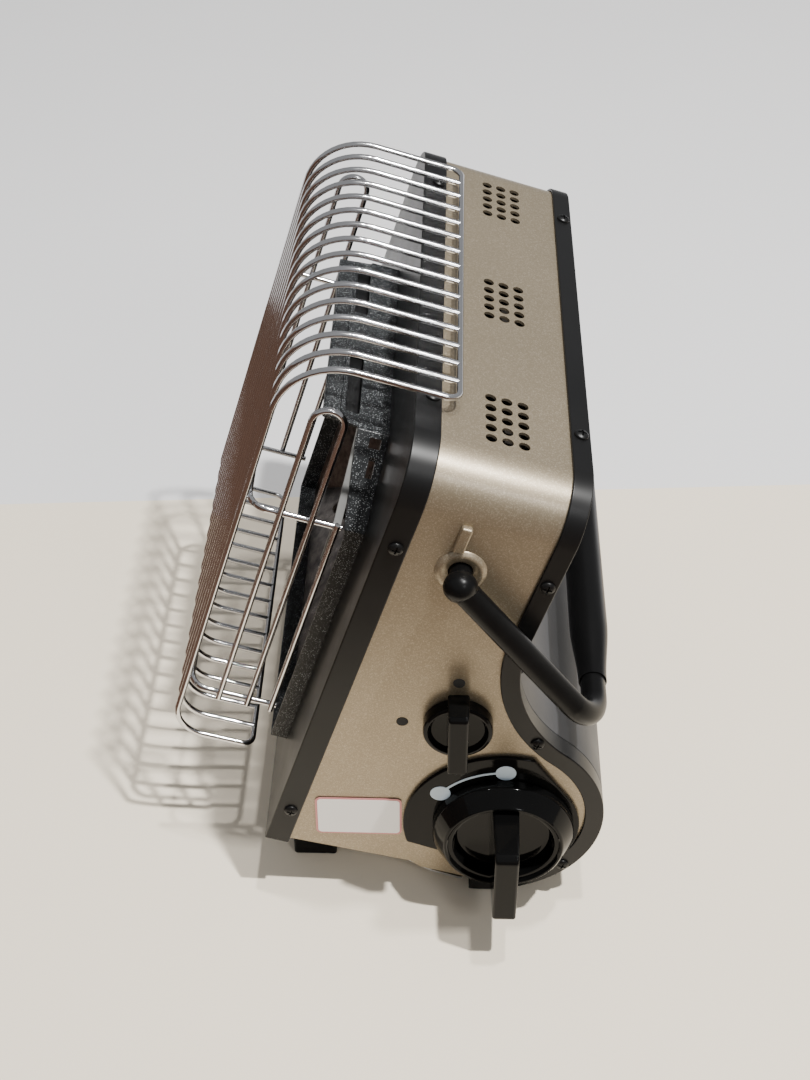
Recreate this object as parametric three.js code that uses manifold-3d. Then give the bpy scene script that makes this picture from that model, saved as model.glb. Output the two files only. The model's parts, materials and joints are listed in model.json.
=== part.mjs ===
// Portable cassette-gas radiant heater. Millimetres, +Z up, front (wire guard) towards -Y, controls on +X.
// The heater leans back on its feet, so it is drawn in body axes: X across, Y from the front face back, and
// Z up from the top panel, which is 0. heater() then tilts the body and stands it on the ground.
import * as THREE from "three";
import { mergeVertices } from "three/addons/utils/BufferGeometryUtils.js";
import Module from "manifold-3d";

const wasm = await Module();
wasm.setup();

// ---- Driving dimensions ----
const TILT = 17; // degrees the body leans back
const GAP = 0.3; // between pieces that touch
const SHEET = 1.2; // thickness of the pressed sheets
const HALF_WIDTH = 120; // shell, half of its outer width
const BEND = 20; // bend radius of the shell
const FRONT_BAND = 10.4; // depth of the black front frame
const REAR_EDGE = 68.4; // back of the body above the gas compartment
const REAR_BAND = 7.8; // width of the black rear frame
const SKIN = HALF_WIDTH + GAP + SHEET; // outside of the two frames
const FLOOR = -211.7; // underside of the body

const LOBE = { y: 84.3, z: -167.7 }; // centre line of the gas compartment
const LOBE_R = 49.2;
const SWEEP_R = 57; // hollow sweep between back and gas compartment
const SWEEP = {
  y: REAR_EDGE + SWEEP_R,
  z: LOBE.z + Math.sqrt((SWEEP_R + LOBE_R) ** 2 - (REAR_EDGE + SWEEP_R - LOBE.y) ** 2),
};
const CAN = { y: 93, z: -171, r: 34 }; // canister, regulator and large knob share this axis
const GROUND = 45; // from the canister axis down to the ground

const ARCH = { half: 86, top: -34.8, shoulder: 61, spring: -65, bottom: -187 }; // burner opening
const WIRE = 1.35; // radius of the guard's wires
const WIRES = 16; // wires side by side, the outer two included
const WIRE_PITCH = 11.44;
const GUARD = { front: -48.8, back: 15.4, top: 6.9, bottom: -196.1, heel: -13 };
const GUARD_BEND = { top: 25, bottom: 14 };
const WELD = 0.4; // how far two welded wires sink into each other
const ARM_X = 85.4; // side arms, which stop at the edge of the burner frame
const STAY_Y = -11.2; // upright wire nearest the case
const HOOPS = { upper: -65.3, lower: -168.7, end: -9.2 };
const HAIRPIN = { near: -21.3, far: -33.7, apex: -10.9 };

const PIVOT = { y: 32, z: -42.5 }; // carrying handle
const GRIP = { y: 105.5, z: -96.4, r: 8, half: 70, taper: 33 }; // half length before it tapers
const ARM = { x: 128.8, r: 5.1, bend: 17 };
const KNOB_R = 29.5; // large knob's bezel
const MODE = { y: 56.2, z: -119.2, r: 14 }; // smaller knob

const COVER_TOP = 203; // degrees on the sweep where the canister cover is hinged
const COVER_END = -62; // degrees on the gas compartment where it closes
const RIM = 113; // half width of the opening it closes

// ---- Shapes and solids ----
const rad = (degrees) => (degrees * Math.PI) / 180;
const polar = ({ y, z }, r, degrees) => [y + r * Math.cos(rad(degrees)), z + r * Math.sin(rad(degrees))];

// Points along an arc, both ends included.
function arc(centre, r, from, to, steps) {
  return Array.from({ length: steps + 1 }, (_, i) => polar(centre, r, from + ((to - from) * i) / steps));
}

// A closed geometry as a solid that can be joined and cut.
function solid(geometry) {
  geometry.deleteAttribute("normal");
  geometry.deleteAttribute("uv");
  const merged = mergeVertices(geometry, 1e-4);
  return new wasm.Manifold(
    new wasm.Mesh({
      numProp: 3,
      vertProperties: new Float32Array(merged.attributes.position.array),
      triVerts: new Uint32Array(merged.index.array),
    }),
  );
}

const join = (...parts) => parts.reduce((a, b) => a.add(b));
const cut = (body, ...tools) => tools.reduce((a, b) => a.subtract(b), body);

function box(x0, x1, y0, y1, z0, z1) {
  const g = new THREE.BoxGeometry(x1 - x0, y1 - y0, z1 - z0);
  return solid(g.translate((x0 + x1) / 2, (y0 + y1) / 2, (z0 + z1) / 2));
}

function extruded(points, depth) {
  const shape = new THREE.Shape(points.map(([a, b]) => new THREE.Vector2(a, b)));
  return new THREE.ExtrudeGeometry(shape, { depth, bevelEnabled: false });
}

// Outline in (y, z), run from x0 to x1.
function prismX(points, x0, x1) {
  return solid(extruded(points, x1 - x0).rotateX(Math.PI / 2).rotateZ(Math.PI / 2).translate(x0, 0, 0));
}

// Outline in (x, z), run from y0 to y1.
function prismY(points, y0, y1) {
  return solid(extruded(points, y1 - y0).rotateX(Math.PI / 2).translate(0, y1, 0));
}

// Turned about the X axis through (y, z): profile of [radius, x], from axis to axis or closed on itself.
function turned(profile, y = 0, z = 0, sides = 24) {
  const points = profile.map(([r, x]) => new THREE.Vector2(r, x));
  return solid(new THREE.LatheGeometry(points, sides).rotateZ(-Math.PI / 2).translate(0, y, z));
}

function rod(r, x0, x1, y, z, sides = 16) {
  return turned([[0, x0], [r, x0], [r, x1], [0, x1]], y, z, sides);
}

// Round pin along Z or Y, centred on (x, y, z).
function pin(r, length, axis, x, y, z, sides = 12) {
  const g = new THREE.CylinderGeometry(r, r, length, sides);
  if (axis === "z") g.rotateX(Math.PI / 2);
  return solid(g.translate(x, y, z));
}

// Closed body between two outlines of equally many (x, z) points, at depths y0 and y1.
function loft(front, y0, back, y1) {
  const n = front.length;
  const p = [...front.map(([x, z]) => [x, y0, z]), ...back.map(([x, z]) => [x, y1, z])];
  const faces = [];
  for (let i = 0; i < n; i++) {
    const j = (i + 1) % n;
    faces.push([i, j, n + j], [i, n + j, n + i]);
  }
  for (let i = 1; i < n - 1; i++) faces.push([0, i + 1, i], [n, n + i, n + i + 1]);
  const g = new THREE.BufferGeometry();
  g.setAttribute("position", new THREE.Float32BufferAttribute(p.flat(), 3));
  g.setIndex(faces.flat());
  const made = solid(g);
  if (made.volume() > 0) return made;
  g.setIndex(faces.map((f) => f.reverse()).flat());
  return solid(g);
}

const mirrored = (body) => body.mirror([1, 0, 0]);

// A wire's centre line: a polyline with each inner corner rounded to its own radius.
class BentWire extends THREE.Curve {
  constructor(corners, steps) {
    super();
    this.points = [];
    corners.forEach(([x, y, z, r], i) => {
      const here = new THREE.Vector3(x, y, z);
      if (!r) return this.points.push(here);
      const a = new THREE.Vector3(...corners[i - 1].slice(0, 3)).sub(here).normalize();
      const b = new THREE.Vector3(...corners[i + 1].slice(0, 3)).sub(here).normalize();
      const half = a.angleTo(b) / 2;
      const centre = a.clone().add(b).normalize().multiplyScalar(r / Math.sin(half)).add(here);
      const from = here.clone().addScaledVector(a, r / Math.tan(half)).sub(centre);
      const axis = b.clone().cross(a).normalize();
      for (let k = 0; k <= steps; k++)
        this.points.push(from.clone().applyAxisAngle(axis, ((Math.PI - 2 * half) * k) / steps).add(centre));
    });
  }
  getPointAt(u) {
    const last = this.points.length - 1;
    const i = Math.min(Math.floor(u * last + 1e-9), last - 1);
    return this.points[i].clone().lerp(this.points[i + 1], u * last - i);
  }
  getTangentAt(u) {
    const last = this.points.length - 1;
    const i = Math.round(u * last);
    const before = this.points[Math.max(i - 1, 0)];
    const after = this.points[Math.min(i + 1, last)];
    const here = this.points[i];
    const into = i ? here.clone().sub(before).normalize() : new THREE.Vector3();
    const out = i < last ? after.clone().sub(here).normalize() : new THREE.Vector3();
    return into.add(out).normalize();
  }
}

// Round bar along a bent centre line. Corners are [x, y, z] or [x, y, z, bend radius].
function bar(corners, r, sides = 6, steps = 3) {
  const curve = new BentWire(corners, steps);
  const section = new THREE.Shape();
  for (let i = 0; i < sides; i++) {
    const a = (2 * Math.PI * (i + 0.5)) / sides;
    section[i ? "lineTo" : "moveTo"](r * Math.cos(a), r * Math.sin(a));
  }
  section.closePath();
  return solid(new THREE.ExtrudeGeometry(section, { steps: curve.points.length - 1, extrudePath: curve }));
}

// A body drawn with the canister axis as its origin and level with the ground, put into body axes.
const level = (body) => body.rotate([TILT, 0, 0]).translate([0, CAN.y, CAN.z]);

// ---- Outlines of the body ----
// Degrees on the gas compartment where the sweep runs into it.
const MEET = THREE.MathUtils.radToDeg(Math.atan2(SWEEP.z - LOBE.z, SWEEP.y - LOBE.y));

// Degrees on the gas compartment where it runs into the flat underside.
function floorAngle(inset) {
  return -180 - THREE.MathUtils.radToDeg(Math.asin((FLOOR + inset - LOBE.z) / (LOBE_R - inset)));
}

// The back of the body, from a height on its flat part or an angle on its sweep, round the gas compartment.
function backLine(inset, { top, from = 180, end }) {
  return [
    ...(top === undefined ? [] : [[REAR_EDGE - inset, top]]),
    ...arc(SWEEP, SWEEP_R + inset, from, 180 + MEET, 7),
    ...arc(LOBE, LOBE_R - inset, MEET, end, 12).slice(1),
  ];
}

// Sheet or band between two insets of the back line, from x0 to x1.
function backStrip(outer, inner, x0, x1, span) {
  return prismX([...backLine(outer, span), ...backLine(inner, span).reverse()], x0, x1);
}

// Arch over the body in (x, z): the shell's section, grown outwards by g, down to z = low.
function archLine(g, low) {
  const right = [[HALF_WIDTH + g, low], ...arc({ y: HALF_WIDTH - BEND, z: -BEND }, BEND + g, 0, 90, 6)];
  return [...right, ...right.map(([x, z]) => [-x, z]).reverse()];
}

function archStrip(outer, inner, low, y0, y1) {
  return prismY([...archLine(outer, low), ...archLine(inner, low).reverse()], y0, y1);
}

// Outline of the burner opening in (x, z), grown by g.
function openingLine(g) {
  const right = [
    [ARCH.half + g, ARCH.bottom - g],
    [ARCH.half + g, ARCH.spring],
    [ARCH.shoulder + 0.4 * g, ARCH.top + g],
  ];
  return [...right, ...right.map(([x, z]) => [-x, z]).reverse()];
}

// ---- Case ----
const VENT = { y: 36, r: 2.22, groups: [-81.2, 0, 81.2], dx: 6.21, dy: 6.37 };

function shellPanel() {
  const lap = 2.5; // how far the sheet runs in under the front frame
  const edge = { top: -BEND, end: floorAngle(4) };
  const low = FLOOR + 4;
  const outline = [[lap, -BEND], [lap, low], ...backLine(4, edge).reverse()];
  const hem = box(HALF_WIDTH - SHEET, HALF_WIDTH, FRONT_BAND + GAP, 56, FLOOR + SHEET + GAP, low + 1);
  const side = join(prismX(outline, HALF_WIDTH - SHEET, HALF_WIDTH), hem);
  let shell = join(archStrip(0, -SHEET, -BEND - 1, lap, REAR_EDGE - 4), side, mirrored(side));
  const ring = turned(
    [
      [4.6, HALF_WIDTH - 0.6],
      [9.8, HALF_WIDTH - 0.6],
      [9.8, HALF_WIDTH + 0.1],
      [8.6, HALF_WIDTH + 1.2],
      [6.8, HALF_WIDTH + 1.2],
      [4.6, HALF_WIDTH + 0.3],
      [4.6, HALF_WIDTH - 0.6],
    ],
    PIVOT.y, PIVOT.z,
  );
  const hole = rod(4.6, HALF_WIDTH - 6, HALF_WIDTH + 6, PIVOT.y, PIVOT.z);
  const tab = box(HALF_WIDTH - 0.6, HALF_WIDTH + 2.6, -6.4, -2, 9.4, 21.4);
  const lug = tab.translate([0, PIVOT.y, PIVOT.z]);
  for (const flip of [(b) => b, mirrored]) shell = join(cut(shell, flip(hole)), flip(ring), flip(lug));
  shell = cut(
    shell,
    rod(7, HALF_WIDTH - 6, HALF_WIDTH + 6, CAN.y, CAN.z, 12),
    rod(4.2, HALF_WIDTH - 6, HALF_WIDTH + 6, MODE.y, MODE.z, 12),
  );
  for (const x of VENT.groups)
    for (let i = -2; i <= 2; i++)
      for (let j = -1; j <= 1; j++)
        shell = cut(shell, pin(VENT.r, 6, "z", x + VENT.dx * i, VENT.y + VENT.dy * j, 0, 6));
  return shell;
}

function frontFrame() {
  const face = prismY(archLine(SHEET + GAP, FLOOR), 0, SHEET);
  const lip = box(-SKIN, SKIN, 0, FRONT_BAND, FLOOR, FLOOR + SHEET);
  const opening = prismY(openingLine(GAP), -1, 3);
  return join(cut(face, opening), archStrip(SHEET + GAP, GAP, FLOOR, 0, FRONT_BAND), lip);
}

function rearFrame() {
  const end = -80; // degrees on the gas compartment where the side bands stop
  const band = backStrip(0, REAR_BAND, HALF_WIDTH + GAP, SKIN, { top: -BEND, end });
  const rim = backStrip(0, SHEET, RIM, SKIN, { from: COVER_TOP, end });
  const below = [
    polar(LOBE, 20, COVER_END - 1),
    polar(LOBE, 60, COVER_END - 1),
    polar(LOBE, 60, end),
    polar(LOBE, 20, end),
  ];
  const wrap = backStrip(0, SHEET, -SKIN, SKIN, { from: COVER_TOP, end });
  const sill = wrap.intersect(prismX(below, -SKIN, SKIN));
  const top = archStrip(SHEET + GAP, GAP, -BEND - 1, REAR_EDGE - REAR_BAND, REAR_EDGE);
  return join(band, rim, mirrored(band), mirrored(rim), sill, top);
}

function rearPanel() {
  const line = (inset) => [
    [REAR_EDGE - inset, -1.9],
    ...arc(SWEEP, SWEEP_R + inset, 180, COVER_TOP - 4, 3),
  ];
  const half = HALF_WIDTH - 1.6;
  const sheet = prismX([...line(0), ...line(SHEET).reverse()], -half, half);
  const corners = prismY(archLine(-1.6, -300), 0, 200);
  const slot = (i, j) => box(60 * i - 20, 60 * i + 20, REAR_EDGE - 4, REAR_EDGE, -30 - 8 * j, -27 - 8 * j);
  const slots = [-1, 0, 1].flatMap((i) => [0, 1, 2].map((j) => slot(i, j)));
  return cut(sheet.intersect(corners), ...slots);
}

const HINGE = polar(SWEEP, SWEEP_R + 0.6, COVER_TOP - 1.4);

function canCover() {
  const half = RIM - GAP;
  const skin = backStrip(0, 1.5, -half, half, { from: COVER_TOP, end: COVER_END });
  const knuckle = rod(2.2, -half, half, HINGE[0], HINGE[1], 10);
  const [y, z] = polar(LOBE, LOBE_R - 0.6, COVER_END + 5);
  const pull = box(-20, 20, -1.5, 1.5, -1.3, 1.3).rotate([COVER_END, 0, 0]).translate([0, y, z]);
  return join(skin, knuckle, pull);
}

function basePlate() {
  const half = HALF_WIDTH - 2.2;
  const tray = box(-half, half, 2.6, 64, FLOOR + SHEET + GAP, FLOOR + 2 * SHEET + GAP);
  const sump = backStrip(1.6, 2.8, -half, half, { from: COVER_TOP, end: floorAngle(1.6) });
  const under = prismX([[50, -160], [50, -230], polar(LOBE, 70, -84), [LOBE.y, LOBE.z]], -130, 130);
  return join(tray, sump.intersect(under));
}

// Feet and label are placed from the canister axis, level with the ground.
const FRONT_FOOT = { x0: 86, x1: 103, y0: -91, y1: -72 };
const REAR_FOOT = { x0: 50, x1: 76, y0: -15.3, y1: 0.7 };
const LABEL = { y0: -78.7, y1: -42.5, z0: -8.6, z1: 13.9, thick: 0.4 };

function frontFoot(side) {
  const { x0, x1, y0, y1 } = FRONT_FOOT;
  const under = box(60, 140, -40, 120, FLOOR - 60, FLOOR - GAP);
  const foot = level(box(x0, x1, y0, y1, -GROUND, -12)).intersect(under);
  return side > 0 ? foot : mirrored(foot);
}

function rearFoot(side) {
  const { x0, x1, y0, y1 } = REAR_FOOT;
  const block = level(box(x0, x1, y0, y1, -GROUND, -40));
  const foot = cut(block, rod(LOBE_R + GAP, x0 - 8, x1 + 8, LOBE.y, LOBE.z, 96));
  return side > 0 ? foot : mirrored(foot);
}

// Blank sticker on the right-hand side.
function sideLabel() {
  const { y0, y1, z0, z1, thick } = LABEL;
  const x = HALF_WIDTH + GAP;
  return level(box(x, x + thick, y0, y1, z0, z1));
}

// ---- Burner ----
const HOOD = { front: -26.7, fold: -19.4, back: -5.7, half: 57, halfBack: 61 }; // plate over the opening
const HOOD_SLOTS = [[11.5, 51.5], [-54, -19]];
const NOTCHES = [
  { x: 63.2, width: 3.6, y0: -6.8, y1: -2.2 },
  { x: 69.8, width: 5.2, y0: -5.2, y1: -2.6 },
];

function burnerFrame() {
  const ring = cut(prismY(openingLine(0), -14, 12), prismY(openingLine(-SHEET), -20, 20));
  const edge = [[-12.3, -20], [-12.3, -38], [-10.4, -50], [-8.5, -63], [-7, -70], [-7, -240]];
  const clear = prismX([[-30, -20], ...edge, [-30, -240]], -120, 120);
  const right = [[HOOD.half, HOOD.front], [HOOD.halfBack, HOOD.back], [HOOD.halfBack, 3]];
  const corners = [...right, ...right.map(([x, y]) => [-x, y]).reverse()];
  const plate = solid(extruded(corners, SHEET).translate(0, 0, ARCH.top - SHEET));
  const lip = box(-HOOD.half + 0.2, HOOD.half - 0.2, HOOD.front, HOOD.fold, ARCH.top - 2.6, ARCH.top + 0.4);
  const slots = HOOD_SLOTS.map(([x0, x1]) => box(x0, x1, -18, -12, ARCH.top - 8, ARCH.top + 8));
  const notch = ({ x, width, y0, y1 }) => box(x - width / 2, x + width / 2, y0, y1, -70, ARCH.top - 1.7);
  const notches = NOTCHES.map(notch);
  return cut(join(cut(ring, clear), plate, lip), ...slots, ...notches, ...notches.map(mirrored));
}

const PLAQUE = { half: 52, z0: -148, z1: -78, y0: 21, y1: 31 };
const SENSOR = { x: 40, z: -160 }; // electrode on one side, thermocouple on the other

function reflector() {
  const rect = (g) => [
    [PLAQUE.half + g, PLAQUE.z0 - g],
    [PLAQUE.half + g, PLAQUE.z1 - 6],
    [PLAQUE.half - 8 + g, PLAQUE.z1 + g],
    [-PLAQUE.half + 8 - g, PLAQUE.z1 + g],
    [-PLAQUE.half - g, PLAQUE.z1 - 6],
    [-PLAQUE.half - g, PLAQUE.z0 - g],
  ];
  const dish = cut(
    loft(openingLine(-SHEET - GAP), 0.4, rect(1.9), 20),
    loft(openingLine(-SHEET - 2 * GAP - 1), 0.2, rect(0.7), 20.2),
  );
  return cut(dish, ...[-1, 1].map((s) => pin(3.2, 40, "y", s * SENSOR.x, 10, SENSOR.z)));
}

const plaque = () => box(-PLAQUE.half, PLAQUE.half, PLAQUE.y0, PLAQUE.y1, PLAQUE.z0, PLAQUE.z1);

const FEED = { y: 38, z: -131.5 }; // axis of the mixing tube and nozzle
const BOX_HALF = PLAQUE.half + 6;

function burnerBox() {
  const [low, high] = [PLAQUE.z0 - 6, PLAQUE.z1 + 6];
  const shell = cut(
    box(-BOX_HALF, BOX_HALF, 24, 47, low, high),
    box(-BOX_HALF + 1.4, BOX_HALF - 1.4, 23, 45.6, low + 1.4, high - 1.4),
  );
  const ledge = cut(
    box(-BOX_HALF + 0.6, BOX_HALF - 0.6, PLAQUE.y1 + GAP, PLAQUE.y1 + 1.6, low + 0.6, high - 0.6),
    box(-PLAQUE.half + 3, PLAQUE.half - 3, 28, 36, PLAQUE.z0 + 3, PLAQUE.z1 - 3),
  );
  return cut(join(shell, ledge), rod(6.4, BOX_HALF - 6, BOX_HALF + 6, FEED.y + 1.4, FEED.z));
}

function burnerMesh() {
  const [low, high] = [PLAQUE.z0 + 1, PLAQUE.z1 - 7];
  const y = PLAQUE.y0 - 3;
  const [half, r] = [48.6, 0.6];
  const upright = (i) => box(i * 16 - r, i * 16 + r, y - r, y + r, low, high);
  const cross = (z) => box(-half, half, y - r, y + r, z - r, z + r);
  const heights = [low + r, (low + high) / 2, high - r];
  return join(...[-3, -2, -1, 0, 1, 2, 3].map(upright), ...heights.map(cross));
}

function mixingTube() {
  const near = BOX_HALF - 3;
  return turned(
    [[4.8, near], [6, near], [6, 74], [9, 82], [9, 88], [7.8, 88], [7.8, 82], [4.8, 74], [4.8, near]],
    FEED.y + 1.4, FEED.z, 16,
  );
}

const nozzle = () => turned([[0, 85], [2, 85], [3.6, 90], [3.6, 100], [0, 100]], FEED.y + 1.4, FEED.z, 12);

function gasPipe() {
  const x = 110;
  const y = FEED.y + 1.4;
  const up = CAN.z + 17.5;
  const along = [[100.3, y, FEED.z], [x, y, FEED.z, 6], [x, 88, FEED.z, 6]];
  const down = [[x, 88, up + 8, 3], [95, 88, up + 8, 3], [95, 88, up]];
  return bar([...along, ...down], 2, 8, 3);
}

const electrode = () => join(
  pin(2.7, 22, "y", SENSOR.x, 19, SENSOR.z),
  bar([[SENSOR.x, 9, SENSOR.z], [SENSOR.x, 5, SENSOR.z, 2], [SENSOR.x, 14, SENSOR.z + 17]], 0.8, 6, 3),
);

const thermocouple = () => join(
  pin(2.7, 22, "y", -SENSOR.x, 19, SENSOR.z),
  bar([[-SENSOR.x, 9, SENSOR.z], [-SENSOR.x, 5, SENSOR.z, 2], [-SENSOR.x, 14, SENSOR.z + 20]], 1.4, 8, 3),
);

function sensorBracket() {
  const plate = box(-52, 52, 22, 23.2, SENSOR.z - 10, SENSOR.z + 5);
  return cut(plate, ...[-1, 1].map((s) => pin(3, 10, "y", s * SENSOR.x, 22, SENSOR.z)));
}

function heatShield() {
  const plate = box(-100, 100, 50, 51.2, -206, -14);
  return join(plate, box(-100, 100, 40, 51.2, -15.2, -14));
}

// ---- Gas supply ----
// Drawn steel can, open at its valve. The wall is thicker than a real one by the weight of the gas.
function canister() {
  const r = CAN.r;
  const wall = 1;
  return turned(
    [
      [0, -102], [20, -102], [28, -105], [r - 1, -108], [r, -106], [r, 68], [28, 71],
      [20, 76], [16, 78], [15.6, 81], [9, 81], [9, 78], [4, 78], [4, 84], [2, 84], [2, 77],
      [15, 77 - wall], [20, 75 - wall], [28, 70 - wall], [r - wall, 67 - wall], [r - wall, -105],
      [28, -105 + wall], [20, -102 + wall], [0, -102 + wall],
    ],
    CAN.y, CAN.z, 20,
  );
}

function canCradle() {
  const saddle = (r) => arc(CAN, r, 182, 262, 8);
  const trough = prismX([...saddle(CAN.r + 3), ...saddle(CAN.r + 1.8).reverse()], -100, 62);
  const rib = (x) => prismX(
    [[58, -207.6], [66, -207.6], polar(CAN, CAN.r + 2.4, 232), polar(CAN, CAN.r + 2.4, 210)], x, x + 6);
  return join(trough, rib(-92), rib(50));
}

const magnetSeat = () => turned([[11, 81.4], [24, 81.4], [24, 87], [11, 87], [11, 81.4]], CAN.y, CAN.z, 20);

function regulator() {
  const body = turned([[0, 87.4], [25, 87.4], [25, 90], [17, 92], [17, 100], [0, 100]], CAN.y, CAN.z, 20);
  return join(body, rod(6, 84.4, 88, CAN.y, CAN.z, 12));
}

const CAM = { r: 9, off: 3 }; // its centre stands off the spindle on the far side from the igniter
const PLUNGER = { tip: CAN.y - CAM.r + CAM.off - GAP, half: 3.4 };

function spindle() {
  const cam = rod(CAM.r, 102, 108, CAN.y + CAM.off, CAN.z);
  return join(rod(4, 100.4, HALF_WIDTH + 4.2, CAN.y, CAN.z, 12), cam);
}

function igniterBody() {
  const [x, half] = [105, PLUNGER.half + 3];
  const body = box(x - half, x + half, 55, 75, CAN.z - half, CAN.z + half);
  const bore = PLUNGER.half + 0.4;
  return cut(body, box(x - bore, x + bore, 64, 80, CAN.z - bore, CAN.z + bore));
}

function igniterPlunger() {
  const half = PLUNGER.half;
  return box(105 - half, 105 + half, 69, PLUNGER.tip, CAN.z - half, CAN.z + half);
}

const modeValve = () => join(
  rod(8, 101, 116.6, MODE.y, MODE.z),
  rod(3, 96, 102, MODE.y, MODE.z, 12),
);

const modeSpindle = () => rod(3, 117, HALF_WIDTH + 4.6, MODE.y, MODE.z, 12);

function tipSwitch() {
  const low = -208;
  return join(box(-40, -14, 18, 38, low, low + 20), box(-44, -10, 22, 34, low, low + 2));
}

// ---- Controls ----
// Block that tapers along X between two (y, z) outlines.
const taper = (first, x0, second, x1) => loft(first, x0, second, x1).rotate([0, 0, -90]).mirror([0, 1, 0]);

// Plate behind the large knob: a disc with a wider sector up and forwards.
function escutcheon() {
  const hub = { y: 0, z: 0 };
  const outline = [...arc(hub, 31.9, -148, 34, 16), ...arc(hub, 42, 74, 196, 13)];
  const plate = prismX(outline, HALF_WIDTH + GAP, HALF_WIDTH + 2);
  return level(cut(plate, rod(9, 115, 130, 0, 0, 20)));
}

function ignitionKnob() {
  const x = HALF_WIDTH;
  const dial = turned(
    [
      [0, x + 2.4], [KNOB_R, x + 2.4], [KNOB_R, x + 6.5], [24.6, x + 13.6], [23.2, x + 13.6],
      [21.6, x + 7.4], [0, x + 5.6],
    ],
    0, 0, 32,
  );
  const foot = [[-5.2, -20.4], [6, -20.4], [6, 20.6], [-5.2, 20.6]];
  const face = [[-4.2, -18.8], [5.4, -18.8], [5.4, 20], [-4.2, 20]];
  const knob = level(join(dial, taper(foot, x + 5.2, face, x + 36)));
  return cut(knob, rod(4.3, x, x + 4.6, CAN.y, CAN.z, 12));
}

function modeKnob() {
  const x = HALF_WIDTH;
  const base = turned(
    [
      [0, x + 0.6], [MODE.r, x + 0.6], [MODE.r - 0.5, x + 6], [MODE.r - 2, x + 6], [MODE.r - 3.4, x + 4],
      [0, x + 3.4],
    ],
    0, 0, 28,
  );
  const foot = [[-4.4, -14.4], [4.4, -14.4], [4.4, 19], [-4.4, 19]];
  const face = [[-3.9, -14], [3.9, -14], [3.9, 18.6], [-3.9, 18.6]];
  const knob = join(base, taper(foot, x + 2.6, face, x + 16));
  return cut(
    knob.rotate([TILT, 0, 0]).translate([0, MODE.y, MODE.z]),
    rod(3.3, x, x + 5, MODE.y, MODE.z, 12),
  );
}

// ---- Carrying handle ----
function handleBail() {
  const line = [[0, GRIP.y, GRIP.z], [ARM.x, GRIP.y, GRIP.z, ARM.bend], [ARM.x, PIVOT.y, PIVOT.z]];
  const out = [[0, -5.2], [4.4, -4.6], [6.6, -1.8], [6.6, 1.8], [4.4, 4.8], [0, 5.8]];
  const ball = turned(out.map(([r, x]) => [r, ARM.x + x]), PIVOT.y, PIVOT.z, 16);
  const stub = rod(4.2, HALF_WIDTH - 6.4, ARM.x - 3, PIVOT.y, PIVOT.z, 12);
  const side = join(bar(line, ARM.r, 8, 4), ball, stub);
  return join(side, mirrored(side));
}

function handleGrip() {
  const inner = ARM.r + GAP;
  const end = GRIP.half + GRIP.taper;
  const right = [[GRIP.r, GRIP.half], [7, GRIP.half + GRIP.taper / 2], [inner + 0.6, end], [inner, end]];
  const left = right.map(([r, x]) => [r, -x]).reverse();
  return turned([...left, ...right, left[0]], GRIP.y, GRIP.z, 16);
}

// ---- Wire guard ----
// One welded cage, drawn wall by wall so that it stays open inside.
const OUTER_WIRE = ((WIRES - 1) * WIRE_PITCH) / 2;
const WIRE_X = Array.from({ length: WIRES }, (_, i) => i * WIRE_PITCH - OUTER_WIRE);
// Heights between which the front wires run straight.
const RUN = { top: GUARD.top - GUARD_BEND.top - 1, bottom: GUARD.bottom + GUARD_BEND.bottom + 1 };

// Front wall: upright wires, joined behind by the two cross wires.
function guardFront() {
  const y = GUARD.front + 2 * WIRE - WELD;
  const upright = (x) => bar([[x, GUARD.front, RUN.bottom + GAP], [x, GUARD.front, RUN.top - GAP]], WIRE);
  const cross = (z) => bar([[-OUTER_WIRE - WIRE, y, z], [OUTER_WIRE + WIRE, y, z]], WIRE);
  return join(...WIRE_X.map(upright), cross(HOOPS.upper), cross(HOOPS.lower));
}

// Top or bottom wall: a rail along the back, and from it each wire forwards and round its bend.
function guardShelf(rail, z, bend, end) {
  const turn = (x) => [[x, GUARD.front, z, bend], [x, GUARD.front, end]];
  const half = bar([[0, rail, z], [OUTER_WIRE, rail, z, 5], ...turn(OUTER_WIRE)], WIRE, 6, 6);
  const inner = WIRE_X.slice(1, -1).map((x) => bar([[x, rail, z], ...turn(x)], WIRE, 6, 6));
  return join(half, mirrored(half), ...inner);
}

const guardTop = () => guardShelf(GUARD.back, GUARD.top, GUARD_BEND.top, RUN.top);
const guardBottom = () => guardShelf(GUARD.heel, GUARD.bottom, GUARD_BEND.bottom, RUN.bottom);

// Side wall: two arms held by the burner frame, with a hairpin and a stay welded across them.
function guardSide(side) {
  const x = ARM_X + 2 * WIRE - WELD;
  const { near, far, apex } = HAIRPIN;
  const low = HOOPS.lower - 3;
  const r = (near - far) / 2 - 0.01;
  const first = GUARD.front + 3 * WIRE - WELD + GAP;
  const arm = (z) => bar([[ARM_X, first, z], [ARM_X, HOOPS.end, z]], WIRE);
  const hairpin = bar([[x, far, low], [x, far, apex, r], [x, near, apex, r], [x, near, low]], WIRE);
  const stay = bar([[x, STAY_Y, HOOPS.upper + 3], [x, STAY_Y, low]], WIRE);
  const wall = join(arm(HOOPS.upper), arm(HOOPS.lower), hairpin, stay);
  return side > 0 ? wall : mirrored(wall);
}

// ---- Screws ----
// Domed head, driven through a frame's sheet: along X at the sides, along Z on top.
function screw(x, y, z, axis) {
  const head = turned([[0, GAP], [2.8, GAP], [2.3, 1.3], [0, 1.7]], 0, 0, 10);
  if (axis === "z") return head.rotate([0, -90, 0]).translate([x, y, z]);
  return (x < 0 ? mirrored(head) : head).translate([x, y, z]);
}

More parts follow.
